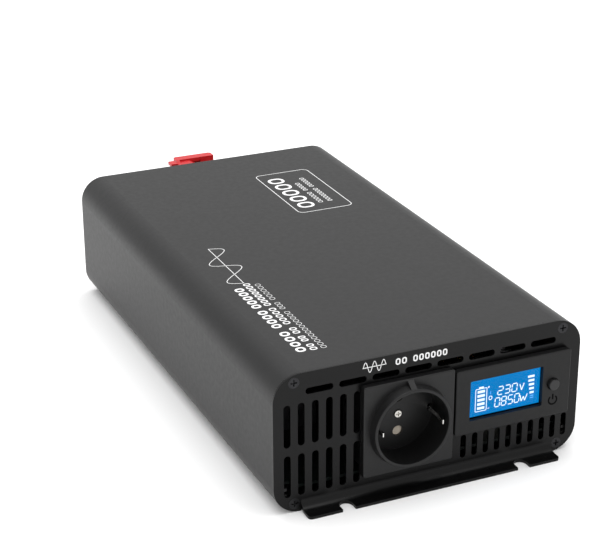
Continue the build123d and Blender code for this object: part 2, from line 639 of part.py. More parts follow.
def make_main_board():
    board = block(-BOARD_HALF, BOARD_HALF, *BOARD_Y, BOARD_Z, BOARD_TOP)
    for side in (-1, 1):
        x0, x1 = sorted((side * 71.0, side * (BOARD_HALF + 1)))
        board -= block(x0, x1, BOARD_Y[0], BOARD_Y[0] + 5, BOARD_Z - 1, BOARD_TOP + 1)
    return board


def make_transformer_core(x, y):
    """Ferrite frame with a round centre leg standing on the board."""
    z0, z1 = BOARD_TOP + 3, BOARD_TOP + 49
    core = block(x - 27, x + 27, y - 10, y + 10, z0, z1)
    core -= block(x - 19, x + 19, y - 10, y + 10, z0 + 8, z1 - 8)
    return core + rod_z(x, y, 8.5, z0 + 8, z1 - 8)


def make_transformer_winding(x, y):
    z0, z1 = BOARD_TOP + 11.5, BOARD_TOP + 40.5
    coil = rod_z(x, y, 17.5, z0 + 1.5, z1 - 1.5)
    cheeks = rod_z(x, y, 18.7, z0, z0 + 1.5) + rod_z(x, y, 18.7, z1 - 1.5, z1)
    return coil + cheeks - rod_z(x, y, 8.8, z0, z1)


def make_capacitor(x, y, radius, height):
    can = rod_z(x, y, radius, BOARD_TOP, BOARD_TOP + height)
    can = fillet(can.faces().sort_by(Axis.Z)[-1].edges(), min(1.2, radius / 6))
    return can - block(x - radius * 0.6, x + radius * 0.6, y - 0.4, y + 0.4,
                       BOARD_TOP + height - 0.5, BOARD_TOP + height + 1)


def make_heat_sink(side, y0, y1, height):
    """Comb-shaped aluminium bar standing beside the board's edge."""
    x0 = SINK_X
    bar = block(x0, x0 + 2.5, y0, y1, BOARD_TOP, BOARD_TOP + height)
    for index in range(6):
        z = BOARD_TOP + 4 + index * (height - 6) / 5
        bar += block(x0 + 2.5, x0 + 6.5, y0, y1, z - 0.7, z + 0.7)
    return bar if side > 0 else bar.mirror(Plane.YZ)


def make_transistor(side, y):
    """Tab against the heat sink, body in front of it, three legs into the board."""
    tab = block(SINK_X - 1.3, SINK_X, y - 5, y + 5, BOARD_TOP + 5, BOARD_TOP + 20.5)
    body = block(SINK_X - 4.5, SINK_X - 1.3, y - 5, y + 5, BOARD_TOP + 5, BOARD_TOP + 14)
    legs = [block(SINK_X - 3.4, SINK_X - 2.7, y + dy - 0.4, y + dy + 0.4, BOARD_TOP, BOARD_TOP + 5)
            for dy in (-2.54, 0, 2.54)]
    device = tab + body + legs - rod_x(y, BOARD_TOP + 17.5, 1.8, SINK_X - 2, SINK_X)
    return device if side > 0 else device.mirror(Plane.YZ)


def make_inductor_core():
    x, y = INDUCTOR
    ring = rod_z(x, y, 19, BOARD_TOP + 2.5, BOARD_TOP + 16.5) - rod_z(x, y, 11, BOARD_TOP, BOARD_TOP + 20)
    return ring


def make_inductor_turns(count=26):
    """Separate closed loops of wire spread around the ring core."""
    x, y = INDUCTOR
    loop = block(9.4, 20.6, -0.7, 0.7, BOARD_TOP + 0.9, BOARD_TOP + 18.1)
    loop -= block(10.8, 19.2, -1, 1, BOARD_TOP + 2.3, BOARD_TOP + 16.7)
    step = 330 / count
    return [Pos(x, y, 0) * (Rot(0, 0, index * step) * loop) for index in range(count)]


def make_fuse(x, y):
    body = block(x - 9.5, x + 9.5, y - 2.5, y + 2.5, BOARD_TOP + 8, BOARD_TOP + 19)
    blades = [block(x + s * 7 - 2.4, x + s * 7 + 2.4, y - 0.4, y + 0.4, BOARD_TOP, BOARD_TOP + 8)
              for s in (-1, 1)]
    return body + blades


def make_driver_board(x0, x1, y, height):
    board = block(x0, x1, y, y + 1.2, BOARD_TOP, BOARD_TOP + height)
    for x in range(int(x0) + 5, int(x1) - 4, 10):
        board += block(x - 3, x + 3, y - 1.6, y, BOARD_TOP + 8, BOARD_TOP + 16)
    return board


def wire(radius, corner, *points):
    """A lead of straight runs joined by tangent arcs."""
    path = FilletPolyline(*points, radius=corner)
    section = Plane(origin=path @ 0, z_dir=path % 0) * Circle(radius)
    return sweep(section, path=path)


def make_mains_leads():
    y0 = FRONT + CARRIER_BACK
    leads = []
    for dx, dz, reach in ((0, PIN_OFFSET, 20.0), (0, -PIN_OFFSET, 11.0), (EARTH_POST_X, 0, 15.0)):
        x, z = SOCKET_X + dx, SOCKET_Z + dz
        leads.append(wire(1.5, 0.45 * min(reach, z - BOARD_TOP), (x, y0, z), (x, y0 + reach, z),
                          (x, y0 + reach, BOARD_TOP)))
    return leads


RIBBON_X = 47.0


def make_display_ribbon():
    y0 = FRONT + BOARD_Q + BOARD_THICK + 4.0
    path = FilletPolyline((RIBBON_X, y0, 33), (RIBBON_X, y0 + 9, 33), (RIBBON_X, y0 + 9, BOARD_TOP + 6),
                          radius=4.0)
    section = Plane(origin=path @ 0, x_dir=(1, 0, 0), z_dir=path % 0) * Rectangle(12, 0.8)
    return sweep(section, path=path)


def make_ribbon_plugs():
    y0 = FRONT + BOARD_Q + BOARD_THICK
    upper = block(RIBBON_X - 7.5, RIBBON_X + 7.5, y0, y0 + 4.0, 30, 36)
    lower = block(RIBBON_X - 7.5, RIBBON_X + 7.5, y0 + 10, y0 + 16, BOARD_TOP, BOARD_TOP + 6)
    return [upper, lower]


def make_fan_lead(side):
    x = side * (FAN_X - 8)
    y = FAN_BACK
    return wire(1.0, 3.0, (x, y, FAN_Z - 20), (x, y - 8, FAN_Z - 20), (x, y - 8, BOARD_TOP))


# ---- write every node ---------------------------------------------------------------------
def write_casing():
    save("housing", make_housing())
    save("front_panel", make_front_panel())
    save("rear_panel", make_rear_panel())
    save("front_panel_screws", *[panel_screw(x, z, FRONT, 1) for x, z in corner_points()])
    save("rear_panel_screws", *[panel_screw(x, z, REAR, -1) for x, z in corner_points()])
    save("ground_screw", make_ground_screw())


def write_socket():
    save("socket_body", make_socket_body())
    save("socket_shutter", make_shutter())
    save("socket_contact_carrier", make_contact_carrier())
    save("socket_pin_contacts", *[make_pin_contact(dz) for dz in (-PIN_OFFSET, PIN_OFFSET)])
    save("socket_earth_strap", make_earth_strap())
    save("socket_screw", make_socket_screw())


def write_display():
    save("display_bezel", make_display_bezel())
    save("display_window", display_block(grow(WINDOW_X, 1.95), GLASS_Q, GLASS_Q + 1, grow(WINDOW_Z, 1.95)))
    save("lcd_module", display_block(grow(WINDOW_X, 1.5), GLASS_Q + 1, BOARD_Q, grow(WINDOW_Z, 1.5)))
    save("display_board", make_display_board())
    save("display_board_screws", *[make_display_screw(x, z) for x, z in DISPLAY_SCREWS])
    save("power_button", make_power_button())
    save("switch_plunger", rod_y(BUTTON_X, BUTTON_Z, 1.75, FRONT + 1.7, FRONT + 3.4))
    save("button_switch", make_button_switch())


def write_fans():
    for name, side in (("left", -1), ("right", 1)):
        save(f"{name}_fan_frame", make_fan_frame(side))
        save(f"{name}_fan_rotor", make_fan_rotor(side))
    save("fan_guards", make_fan_guard(-1), make_fan_guard(1))
    points = fan_hole_points(-1) + fan_hole_points(1)
    save("fan_screws", *[make_fan_screw(x, z) for x, z in points])


def write_terminals():
    for name, z, foot_y in (("positive", POSITIVE_Z, 114.0), ("negative", NEGATIVE_Z, 122.0)):
        save(f"{name}_terminal_base", make_terminal_base(z))
        save(f"{name}_stud", make_stud(z))
        save(f"{name}_lock_nut", make_nut(z, out(LOCK_NUT_OUT), 4.0, STUD + 0.05))
        save(f"{name}_washers", *make_washers(z))
        save(f"{name}_nut", make_nut(z, out(NUT_OUT), 6.5, STUD + 0.05))
        save(f"{name}_cover", make_cover(z))
        save(f"{name}_hinge_pin", make_hinge_pin(z))
        save(f"{name}_busbar", make_busbar(z, foot_y))


def write_circuit():
    save("main_board", make_main_board())
    save("transformer_cores", *[make_transformer_core(x, y) for x, y in TRANSFORMERS])
    save("transformer_windings", *[make_transformer_winding(x, y) for x, y in TRANSFORMERS])
    save("bus_capacitors", *[make_capacitor(x, y, 15.0, 42.0) for x, y in BUS_CAPACITORS])
    save("input_capacitors", *[make_capacitor(x, y, 8.0, 31.0) for x, y in INPUT_CAPACITORS])
    save("input_transistors", *[make_transistor(side, y) for side in (-1, 1) for y in INPUT_ROW])
    save("output_transistors", *[make_transistor(side, y) for side in (-1, 1) for y in OUTPUT_ROW])
    sinks = [make_heat_sink(side, y0, y1, 30.0) for side in (-1, 1) for y0, y1 in ((8, 108), (-100, -36))]
    save("heat_sinks", *sinks)
    save("inductor_core", make_inductor_core())
    save("inductor_turns", *make_inductor_turns())
    save("fuses", *[make_fuse(x, 121.0) for x in (-62.0, -36.0, 36.0, 62.0)])
    save("driver_boards", make_driver_board(-52, -4, -44, 34), make_driver_board(4, 52, -44, 34))
    save("filter_capacitors", block(-62, -36, -92, -78, BOARD_TOP, BOARD_TOP + 18),
         block(-62, -36, -70, -56, BOARD_TOP, BOARD_TOP + 18))
    save("mains_leads", *make_mains_leads())
    save("display_ribbon", make_display_ribbon())
    save("ribbon_plugs", *make_ribbon_plugs())
    save("fan_leads", make_fan_lead(-1), make_fan_lead(1))


os.makedirs("parts", exist_ok=True)
write_casing()
write_socket()
write_display()
write_fans()
write_terminals()
write_circuit()
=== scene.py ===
"""Power inverter: the looks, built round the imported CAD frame.

Metres, +Z up, +Y from the socket end to the battery end, origin in the middle of the housing's base.
"""
import json
import math

import bmesh
import bpy
from mathutils import Matrix, Vector


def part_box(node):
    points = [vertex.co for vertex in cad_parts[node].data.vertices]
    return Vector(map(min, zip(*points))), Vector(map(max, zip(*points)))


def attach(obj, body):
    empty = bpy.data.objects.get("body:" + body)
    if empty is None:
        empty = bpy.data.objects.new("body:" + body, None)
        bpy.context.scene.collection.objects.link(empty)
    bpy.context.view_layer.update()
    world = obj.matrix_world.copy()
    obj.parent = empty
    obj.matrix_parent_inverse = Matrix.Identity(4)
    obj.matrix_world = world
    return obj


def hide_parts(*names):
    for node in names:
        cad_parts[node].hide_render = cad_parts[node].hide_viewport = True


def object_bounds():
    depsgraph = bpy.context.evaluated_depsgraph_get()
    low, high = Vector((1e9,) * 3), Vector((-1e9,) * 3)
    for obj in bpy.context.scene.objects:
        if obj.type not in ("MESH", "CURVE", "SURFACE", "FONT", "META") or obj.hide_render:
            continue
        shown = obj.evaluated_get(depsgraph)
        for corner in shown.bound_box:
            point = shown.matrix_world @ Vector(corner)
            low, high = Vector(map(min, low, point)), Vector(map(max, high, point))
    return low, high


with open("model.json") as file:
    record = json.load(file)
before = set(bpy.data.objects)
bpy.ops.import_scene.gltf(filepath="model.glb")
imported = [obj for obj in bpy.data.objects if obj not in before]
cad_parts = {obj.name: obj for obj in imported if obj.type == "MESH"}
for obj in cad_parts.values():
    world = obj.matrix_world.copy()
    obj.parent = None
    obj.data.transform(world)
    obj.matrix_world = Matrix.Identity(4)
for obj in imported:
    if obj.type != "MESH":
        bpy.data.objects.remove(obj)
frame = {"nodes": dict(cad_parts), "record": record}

CAD_LOW, CAD_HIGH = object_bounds()
MM = 0.001

HOUSING_LOW, HOUSING_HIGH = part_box("housing")
WIDTH = HOUSING_HIGH.x - HOUSING_LOW.x
TOP = HOUSING_HIGH.z
SHEET = 1.5 * MM
FRONT = HOUSING_LOW.y - SHEET
REAR = HOUSING_HIGH.y + SHEET
LCD_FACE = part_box("lcd_module")[0].y
BEZEL_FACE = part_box("display_bezel")[0].y

# Camera: its place in case widths from the middle of the front panel's foot, then its direction.
CAMERA_PLACE = (-2.0985, -3.7906, 2.5056)
CAMERA_AZIMUTH = -23.943
CAMERA_ELEVATION = 22.906
CAMERA_ROLL = -0.27
CAMERA_LENS = 100.39
SENSOR = 36.0
CLIP_START = 0.05

# Studio: even white surroundings, one overhead softbox and a pale floor, in metres and watts.
WORLD_STRENGTH = 1.0
SOFTBOX_PLACE = (0.1, 0.3, 2.2)
SOFTBOX_SIZE = (2.6, 2.6)
SOFTBOX_POWER = 42
FLOOR_HALF = 6.0
FLOOR_TONE = 0.95

# Printing: how far the ink stands proud, and how far it reaches into the surface below.
INK = 0.04 * MM
SINK = 0.02 * MM
LINE_LEAN = 0.30                   # how far the large wave leans back for each unit of height
WAVE_STEPS = 24                    # points in one turn of a wave
RING_SHARE = 0.78                  # a placeholder ring's share of its letter's width

# Top print, in millimetres: x from the front face backwards, y from the middle to the left.
# A line is its words (start, end), its foot and head, the letter width and the line weight.
TOP_LINES = (
    (((21.1, 47.0), (51.0, 74.7), (77.4, 106.1)), 57.8, 63.0, 6.2, 1.25),
    (((20.6, 28.7), (31.3, 38.5), (41.2, 49.5), (53.3, 75.7), (78.3, 110.3)), 52.2, 56.1, 4.2, 0.75),
    (((20.6, 68.5), (71.2, 81.0), (84.2, 107.5)), 47.4, 50.3, 3.6, 0.26))
LABEL_LINES = (
    (((204.3, 223.6), (226.6, 241.4)), -35.4, -32.4, 3.2, 0.42),
    (((204.3, 228.5), (231.2, 248.9)), -41.6, -38.6, 3.2, 0.42))
FIGURE_COUNT, FIGURE_START, FIGURE_PITCH, FIGURE_WIDTH = 5, 200.6, 11.2, 7.2

# Rear print, in millimetres: half sizes of the polarity marks and of the three earth bars.
MARK_X = 23.5
MARK_REACH, MARK_HALF = 2.4, 0.5
EARTH_RISE = 8.4                   # from the ground screw's centre up to the sign
EARTH_BARS = (2.2, 1.5, 0.8)
EARTH_PITCH, EARTH_HALF = 1.1, 0.3

# Power icon under the button, in millimetres and degrees.
ICON_X, ICON_Z = 68.2, 32.9
ICON_RADIUS, ICON_WEIGHT = 2.4, 0.85
ICON_GAP, ICON_STEPS = 38, 32      # half the ring's opening, and the steps along the ring

# Display, in millimetres.
DISPLAY_SINK = 0.01 * MM
DIGIT_LEAN = 0.08
BAR_COUNT, BAR_PITCH = 5, 2.3      # bars in the battery gauge and in the load gauge

# Threads on the battery studs.
STUD_RADIUS = 4.0 * MM
THREAD_PITCH = 1.25 * MM
THREAD_DEPTH = 0.62 * MM
THREAD_SIDES = 32                  # points round the stud
THREAD_ROWS = 6                    # rows in one pitch
TAPER_LENGTH = 0.8 * MM            # the chamfer at each end, along the stud and into it
TAPER_DEPTH = 0.7 * MM


# ---- camera, light and floor --------------------------------------------------------------
def make_camera():
    data = bpy.data.cameras.new("camera")
    data.lens = CAMERA_LENS
    data.sensor_width = SENSOR
    data.clip_start = CLIP_START
    camera = bpy.data.objects.new("camera", data)
    bpy.context.scene.collection.objects.link(camera)
    azimuth, elevation = math.radians(CAMERA_AZIMUTH), math.radians(CAMERA_ELEVATION)
    forward = Vector((-math.sin(azimuth) * math.cos(elevation), math.cos(azimuth) * math.cos(elevation),
                      -math.sin(elevation)))
    turn = forward.to_track_quat("-Z", "Y").to_matrix().to_4x4()
    place = Vector((0, FRONT, 0)) + Vector(CAMERA_PLACE) * WIDTH
    roll = Matrix.Rotation(math.radians(CAMERA_ROLL), 4, "Z")
    camera.matrix_world = Matrix.Translation(place) @ turn @ roll
    bpy.context.scene.camera = camera


def make_softbox(name, place, aim, size, power):
    data = bpy.data.lights.new(name, "AREA")
    data.shape = "RECTANGLE"
    data.size, data.size_y = size
    data.energy = power
    lamp = bpy.data.objects.new(name, data)
    bpy.context.scene.collection.objects.link(lamp)
    lamp.location = place
    lamp.rotation_euler = (Vector(aim) - Vector(place)).to_track_quat("-Z", "Y").to_euler()


def make_world(strength):
    """Even white surroundings."""
    world = bpy.data.worlds.new("studio")
    world.use_nodes = True
    background = world.node_tree.nodes["Background"]
    background.inputs["Color"].default_value = (1, 1, 1, 1)
    background.inputs["Strength"].default_value = strength
    bpy.context.scene.world = world


def make_floor():
    half = FLOOR_HALF
    mesh = bpy.data.meshes.new("floor")
    corners = [(-half, -half, 0), (half, -half, 0), (half, half, 0), (-half, half, 0)]
    mesh.from_pydata(corners, [], [(0, 1, 2, 3)])
    floor = bpy.data.objects.new("floor", mesh)
    floor.location.z = CAD_LOW.z
    bpy.context.scene.collection.objects.link(floor)
    material, shader = new_material("floor_white")
    shader.inputs["Base Color"].default_value = (FLOOR_TONE, FLOOR_TONE, FLOOR_TONE, 1)
    shader.inputs["Roughness"].default_value = 0.95
    shader.inputs["Specular IOR Level"].default_value = 0.0
    mesh.materials.append(material)


# ---- material parts -----------------------------------------------------------------------
def new_material(name):
    material = bpy.data.materials.new(name)
    material.use_nodes = True
    return material, material.node_tree.nodes["Principled BSDF"]


def add_place(tree, stretch):
    place = tree.nodes.new("ShaderNodeTexCoord")
    mapping = tree.nodes.new("ShaderNodeMapping")
    mapping.inputs["Scale"].default_value = stretch
    tree.links.new(place.outputs["Object"], mapping.inputs["Vector"])
    return mapping.outputs["Vector"]


def add_noise(tree, scale, detail, stretch=(1, 1, 1)):
    """Noise in the part's frame, scale in features per metre."""
    grain = tree.nodes.new("ShaderNodeTexNoise")
    grain.inputs["Scale"].default_value = scale
    grain.inputs["Detail"].default_value = detail
    grain.inputs["Roughness"].default_value = 0.55
    tree.links.new(add_place(tree, stretch), grain.inputs["Vector"])
    return grain.outputs["Fac"]


def add_cells(tree, scale):
    """Distance to the nearest cell centre: round pits or grains."""
    cells = tree.nodes.new("ShaderNodeTexVoronoi")
    cells.inputs["Scale"].default_value = scale
    tree.links.new(add_place(tree, (1, 1, 1)), cells.inputs["Vector"])
    return cells.outputs["Distance"]


def add_bands(tree, scale, axis, distortion):
    """Parallel bands across an axis, such as tape edges, foil turns or saw marks."""
    wave = tree.nodes.new("ShaderNodeTexWave")
    wave.bands_direction = axis
    wave.inputs["Scale"].default_value = scale
    wave.inputs["Distortion"].default_value = distortion
    tree.links.new(add_place(tree, (1, 1, 1)), wave.inputs["Vector"])
    return wave.outputs["Fac"]


def add_range(tree, value, low, high, start=0.3, end=0.7):
    """Maps a value's start..end to low..high."""
    node = tree.nodes.new("ShaderNodeMapRange")
    node.inputs["From Min"].default_value = start
    node.inputs["From Max"].default_value = end
    node.inputs["To Min"].default_value = low
    node.inputs["To Max"].default_value = high
    tree.links.new(value, node.inputs["Value"])
    return node.outputs["Result"]


def add_mix(tree, share, first, second):
    """Mixes two colours, each a tuple or a socket, by a share socket."""
    node = tree.nodes.new("ShaderNodeMix")
    node.data_type = "RGBA"
    tree.links.new(share, node.inputs["Factor"])
    for label, colour in (("A", first), ("B", second)):
        target = [s for s in node.inputs if s.name == label and s.type == "RGBA"][0]
        if isinstance(colour, tuple):
            target.default_value = (*colour, 1)
        else:
            tree.links.new(colour, target)
    return [s for s in node.outputs if s.type == "RGBA"][0]


def add_edges(tree, radius):
    """0 on flat areas and 1 along the edges, from how far a rounded normal leaves the true one."""
    rounded = tree.nodes.new("ShaderNodeBevel")
    rounded.samples = 4
    rounded.inputs["Radius"].default_value = radius
    true = tree.nodes.new("ShaderNodeNewGeometry")
    dot = tree.nodes.new("ShaderNodeVectorMath")
    dot.operation = "DOT_PRODUCT"
    tree.links.new(rounded.outputs["Normal"], dot.inputs[0])
    tree.links.new(true.outputs["Normal"], dot.inputs[1])
    return add_range(tree, dot.outputs["Value"], 1.0, 0.0, 0.75, 0.98)


def add_bump(tree, height, depth, bevel=0.0):
    bump = tree.nodes.new("ShaderNodeBump")
    bump.inputs["Distance"].default_value = depth
    tree.links.new(height, bump.inputs["Height"])
    if bevel:
        rounded = tree.nodes.new("ShaderNodeBevel")
        rounded.samples = 4
        rounded.inputs["Radius"].default_value = bevel
        tree.links.new(rounded.outputs["Normal"], bump.inputs["Normal"])
    return bump.outputs["Normal"]


def tone(colour, factor):
    return tuple(min(1.0, c * factor) for c in colour)


# ---- materials ----------------------------------------------------------------------------
def coated_metal(name, colour, roughness, specular=0.5, grain=1100.0, depth=0.012 * MM):
    """Powder-coated sheet: orange-peel grain, pin-point sparkle painted into the colour as lighter specks
    (painted glints) and a thinner, lighter coat on edges.
    """
    material, shader = new_material(name)
    tree = material.node_tree
    drift = add_range(tree, add_noise(tree, 60.0, 3.0), 0.0, 1.0)
    body = add_mix(tree, drift, tone(colour, 0.94), tone(colour, 1.06))
    # painted glints: small lighter specks in the base colour stand in for the coat's sparkle
    painted_glint_specks = add_range(tree, add_cells(tree, grain * 1.5), 0.6, 0.0, 0.05, 0.22)
    body = add_mix(tree, painted_glint_specks, body, tone(colour, 1.7))
    body = add_mix(tree, add_edges(tree, 0.4 * MM), body, tone(colour, 2.2))
    tree.links.new(body, shader.inputs["Base Color"])
    shader.inputs["Specular IOR Level"].default_value = specular
    smear = add_noise(tree, 350.0, 4.0)
    tree.links.new(add_range(tree, smear, roughness - 0.03, roughness + 0.03), shader.inputs["Roughness"])
    height = add_noise(tree, grain, 3.0)
    tree.links.new(add_bump(tree, height, depth, bevel=0.25 * MM), shader.inputs["Normal"])
    return material


def moulded_plastic(name, colour, roughness, specular=0.5, lift=1.5):
    """Spark-eroded moulding texture with a faint tone drift and polished edges."""
    material, shader = new_material(name)
    tree = material.node_tree
    drift = add_range(tree, add_noise(tree, 180.0, 4.0), 0.0, 1.0)
    body = add_mix(tree, drift, tone(colour, 0.94), tone(colour, 1.06))
    body = add_mix(tree, add_edges(tree, 0.3 * MM), body, tone(colour, lift))
    tree.links.new(body, shader.inputs["Base Color"])
    shader.inputs["Specular IOR Level"].default_value = specular
    smear = add_noise(tree, 420.0, 4.0)
    tree.links.new(add_range(tree, smear, roughness - 0.04, roughness + 0.05), shader.inputs["Roughness"])
    height = add_noise(tree, 2200.0, 2.0)
    tree.links.new(add_bump(tree, height, 0.01 * MM, bevel=0.2 * MM), shader.inputs["Normal"])
    return material


def bare_metal(name, colour, roughness, stretch=(1, 1, 1)):
    """Machined or drawn metal: fine lines across the stretched axes, duller in stained places."""
    material, shader = new_material(name)
    tree = material.node_tree
    stain = add_range(tree, add_noise(tree, 260.0, 5.0), 0.0, 1.0, 0.42, 0.75)
    body = add_mix(tree, stain, colour, tone(colour, 0.74))
    body = add_mix(tree, add_edges(tree, 0.2 * MM), body, tone(colour, 1.15))
    tree.links.new(body, shader.inputs["Base Color"])
    shader.inputs["Metallic"].default_value = 1.0
    line = add_noise(tree, 1500.0, 3.0, stretch)
    tree.links.new(add_range(tree, line, roughness - 0.06, roughness + 0.1), shader.inputs["Roughness"])
    tree.links.new(add_bump(tree, line, 0.004 * MM, bevel=0.12 * MM), shader.inputs["Normal"])
    return material


def banded(name, colour, other, roughness, scale, axis, depth=0.05 * MM, metallic=0.0, distortion=0.3):
    """Wound, stacked or ribbed stock: bands across an axis, in colour, gloss and height."""
    material, shader = new_material(name)
    tree = material.node_tree
    bands = add_bands(tree, scale, axis, distortion)
    tree.links.new(add_mix(tree, bands, other, colour), shader.inputs["Base Color"])
    shader.inputs["Metallic"].default_value = metallic
    smear = add_noise(tree, 300.0, 4.0)
    tree.links.new(add_range(tree, smear, roughness - 0.05, roughness + 0.08), shader.inputs["Roughness"])
    tree.links.new(add_bump(tree, bands, depth, bevel=0.15 * MM), shader.inputs["Normal"])
    return material


def sintered(name, colour, roughness, grain):
    """Ferrite or pressed powder: granular, with chipped lighter spots."""
    material, shader = new_material(name)
    tree = material.node_tree
    grit = add_cells(tree, grain)
    body = add_mix(tree, add_range(tree, grit, 0.0, 1.0, 0.1, 0.5), tone(colour, 0.7), tone(colour, 1.4))
    chip = add_range(tree, add_noise(tree, 500.0, 5.0), 0.0, 1.0, 0.66, 0.74)
    tree.links.new(add_mix(tree, chip, body, tone(colour, 2.6)), shader.inputs["Base Color"])
    tree.links.new(add_range(tree, grit, roughness, roughness + 0.15), shader.inputs["Roughness"])
    tree.links.new(add_bump(tree, grit, 0.03 * MM, bevel=0.3 * MM), shader.inputs["Normal"])
    return material


def circuit_laminate(name, mask, copper, roughness):
    """Solder mask over copper: broad tracks show as a lighter tone, with tinned vias."""
    material, shader = new_material(name)
    tree = material.node_tree
    tracks = tree.nodes.new("ShaderNodeTexBrick")
    tracks.inputs["Scale"].default_value = 90.0
    tracks.inputs["Mortar Size"].default_value = 0.03
    tracks.inputs["Color1"].default_value = (*mask, 1)
    tracks.inputs["Color2"].default_value = (*tone(mask, 1.8), 1)
    tracks.inputs["Mortar"].default_value = (*tone(mask, 0.5), 1)
    tree.links.new(add_place(tree, (1, 1, 1)), tracks.inputs["Vector"])
    via = add_range(tree, add_cells(tree, 260.0), 1.0, 0.0, 0.06, 0.10)
    tree.links.new(add_mix(tree, via, tracks.outputs["Color"], copper), shader.inputs["Base Color"])
    tree.links.new(via, shader.inputs["Metallic"])
    smear = add_noise(tree, 240.0, 4.0)
    tree.links.new(add_range(tree, smear, roughness - 0.05, roughness + 0.08), shader.inputs["Roughness"])
    tree.links.new(add_bump(tree, tracks.outputs["Fac"], 0.02 * MM), shader.inputs["Normal"])
    return material


def clear_window(name):
    """Coated acrylic: hardly any reflection, a faint smear."""
    material, shader = new_material(name)
    tree = material.node_tree
    shader.inputs["Base Color"].default_value = (0.97, 0.99, 1.0, 1)
    shader.inputs["Transmission Weight"].default_value = 1.0
    shader.inputs["IOR"].default_value = 1.18
    smear = add_noise(tree, 90.0, 4.0)
    tree.links.new(add_range(tree, smear, 0.0, 0.03), shader.inputs["Roughness"])
    return material


def lit_panel(name, colour, strength, drift):
    """A backlit film: faintly uneven, as edge-lit panels are."""
    material, shader = new_material(name)
    tree = material.node_tree
    shader.inputs["Base Color"].default_value = (*tone(colour, 0.3), 1)
    shader.inputs["Roughness"].default_value = 0.45
    shader.inputs["Specular IOR Level"].default_value = 0.1
    glow = add_range(tree, add_noise(tree, 60.0, 2.0), 0.0, 1.0)
    tree.links.new(add_mix(tree, glow, tone(colour, 1 - drift), tone(colour, 1 + drift)),
                   shader.inputs["Emission Color"])
    shader.inputs["Emission Strength"].default_value = strength
    return material


def screen_ink(name, colour, roughness, specular=0.3):
    """Screen-printed ink: slightly uneven cover."""
    material, shader = new_material(name)
    tree = material.node_tree
    cover = add_range(tree, add_noise(tree, 1600.0, 4.0), 0.0, 1.0, 0.25, 0.6)
    tree.links.new(add_mix(tree, cover, tone(colour, 0.82), colour), shader.inputs["Base Color"])
    shader.inputs["Specular IOR Level"].default_value = specular
    smear = add_noise(tree, 700.0, 3.0)
    tree.links.new(add_range(tree, smear, roughness - 0.05, roughness + 0.08), shader.inputs["Roughness"])
    return material


